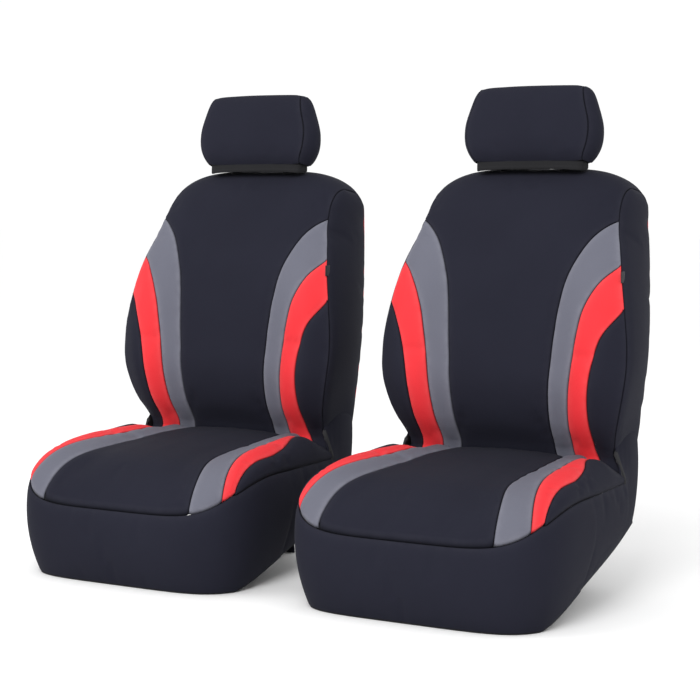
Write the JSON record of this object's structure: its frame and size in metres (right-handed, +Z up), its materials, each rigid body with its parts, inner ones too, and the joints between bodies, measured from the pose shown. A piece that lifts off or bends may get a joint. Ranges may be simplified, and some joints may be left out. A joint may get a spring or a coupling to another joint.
{
  "type": "seat cover set",
  "caption": "Pair of sewn bucket-seat covers with headrest covers, black with curved grey and red side stripes, shaped as fitted to the seats.",
  "frame": {"origin": "on the ground under the middle of the pair, halfway across and halfway from front to rear", "axes": "+Z up, +X to the seats' left (the driver's cover is at +X), -Y to the front, the way a person in the seat faces"},
  "size_m": [1.2714, 0.6748, 1.0417],
  "materials": {
    "black_polyester": "smooth stretch polyester laminated to foam, soft sheen",
    "grey_polyester": "fine-textured grey polyester",
    "red_polyester": "bright red polyester",
    "black_elastic": "ribbed elastic binding",
    "black_webbing": "woven polyester webbing",
    "buckle_plastic": "moulded acetal, fine grain",
    "label_cloth": "folded woven tag, blank"
  },
  "bodies": {
    "driver_cushion_cover": {"driver_buckle_socket": "buckle_plastic", "driver_cushion_centre_panel": "black_polyester", "driver_cushion_grey_stripe_left": "grey_polyester", "driver_cushion_grey_stripe_right": "grey_polyester", "driver_cushion_outer_panel_left": "black_polyester", "driver_cushion_outer_panel_right": "black_polyester", "driver_cushion_red_stripe_left": "red_polyester", "driver_cushion_red_stripe_right": "red_polyester", "driver_cushion_skirt": "black_polyester", "driver_hem_binding": "black_elastic", "driver_strap_left": "black_webbing", "driver_strap_right": "black_webbing", "driver_tuck_flap": "black_polyester"},
    "driver_back_cover": {"driver_back_centre_panel": "black_polyester", "driver_back_grey_stripe_left": "grey_polyester", "driver_back_grey_stripe_right": "grey_polyester", "driver_back_outer_panel_left": "black_polyester", "driver_back_outer_panel_right": "black_polyester", "driver_back_piping": "red_polyester", "driver_back_rear_panel": "black_polyester", "driver_back_red_stripe_left": "red_polyester", "driver_back_red_stripe_right": "red_polyester", "driver_back_side_panel_left": "black_polyester", "driver_back_side_panel_right": "black_polyester", "driver_side_label": "label_cloth"},
    "driver_headrest_cover": {"driver_head_elastic": "black_elastic", "driver_head_gusset_left": "black_polyester", "driver_head_gusset_right": "black_polyester", "driver_head_wrap_panel": "black_polyester"},
    "driver_buckle_plug": {"driver_buckle_plug": "buckle_plastic"},
    "passenger_cushion_cover": {"passenger_buckle_socket": "buckle_plastic", "passenger_cushion_centre_panel": "black_polyester", "passenger_cushion_grey_stripe_left": "grey_polyester", "passenger_cushion_grey_stripe_right": "grey_polyester", "passenger_cushion_outer_panel_left": "black_polyester", "passenger_cushion_outer_panel_right": "black_polyester", "passenger_cushion_red_stripe_left": "red_polyester", "passenger_cushion_red_stripe_right": "red_polyester", "passenger_cushion_skirt": "black_polyester", "passenger_hem_binding": "black_elastic", "passenger_strap_left": "black_webbing", "passenger_strap_right": "black_webbing", "passenger_tuck_flap": "black_polyester"},
    "passenger_back_cover": {"passenger_back_centre_panel": "black_polyester", "passenger_back_grey_stripe_left": "grey_polyester", "passenger_back_grey_stripe_right": "grey_polyester", "passenger_back_outer_panel_left": "black_polyester", "passenger_back_outer_panel_right": "black_polyester", "passenger_back_piping": "red_polyester", "passenger_back_rear_panel": "black_polyester", "passenger_back_red_stripe_left": "red_polyester", "passenger_back_red_stripe_right": "red_polyester", "passenger_back_side_panel_left": "black_polyester", "passenger_back_side_panel_right": "black_polyester", "passenger_side_label": "label_cloth"},
    "passenger_headrest_cover": {"passenger_head_elastic": "black_elastic", "passenger_head_gusset_left": "black_polyester", "passenger_head_gusset_right": "black_polyester", "passenger_head_wrap_panel": "black_polyester"},
    "passenger_buckle_plug": {"passenger_buckle_plug": "buckle_plastic"}
  },
  "joints": [
    {"name": "passenger_cover_shift", "type": "slide", "parent": "driver_cushion_cover", "child": "passenger_cushion_cover", "axis": [0, 1, 0], "range_m": [-0.1, 0.1]},
    {"name": "driver_recline", "type": "hinge", "parent": "driver_cushion_cover", "child": "driver_back_cover", "pos_m": [0.3475, 0.1874, 0.23065], "axis": [-1, 0, 0], "range_deg": [-2, 25]},
    {"name": "driver_headrest_raise", "type": "slide", "parent": "driver_back_cover", "child": "driver_headrest_cover", "axis": [0, 0.1392, 0.9903], "range_m": [0, 0.06]},
    {"name": "driver_buckle_release", "type": "slide", "parent": "driver_cushion_cover", "child": "driver_buckle_plug", "axis": [-1, 0, 0], "range_m": [0, 0.03]},
    {"name": "passenger_recline", "type": "hinge", "parent": "passenger_cushion_cover", "child": "passenger_back_cover", "pos_m": [-0.3475, 0.1874, 0.23065], "axis": [-1, 0, 0], "range_deg": [-2, 25]},
    {"name": "passenger_headrest_raise", "type": "slide", "parent": "passenger_back_cover", "child": "passenger_headrest_cover", "axis": [0, 0.1392, 0.9903], "range_m": [0, 0.06]},
    {"name": "passenger_buckle_release", "type": "slide", "parent": "passenger_cushion_cover", "child": "passenger_buckle_plug", "axis": [-1, 0, 0], "range_m": [0, 0.03]}
  ]
}
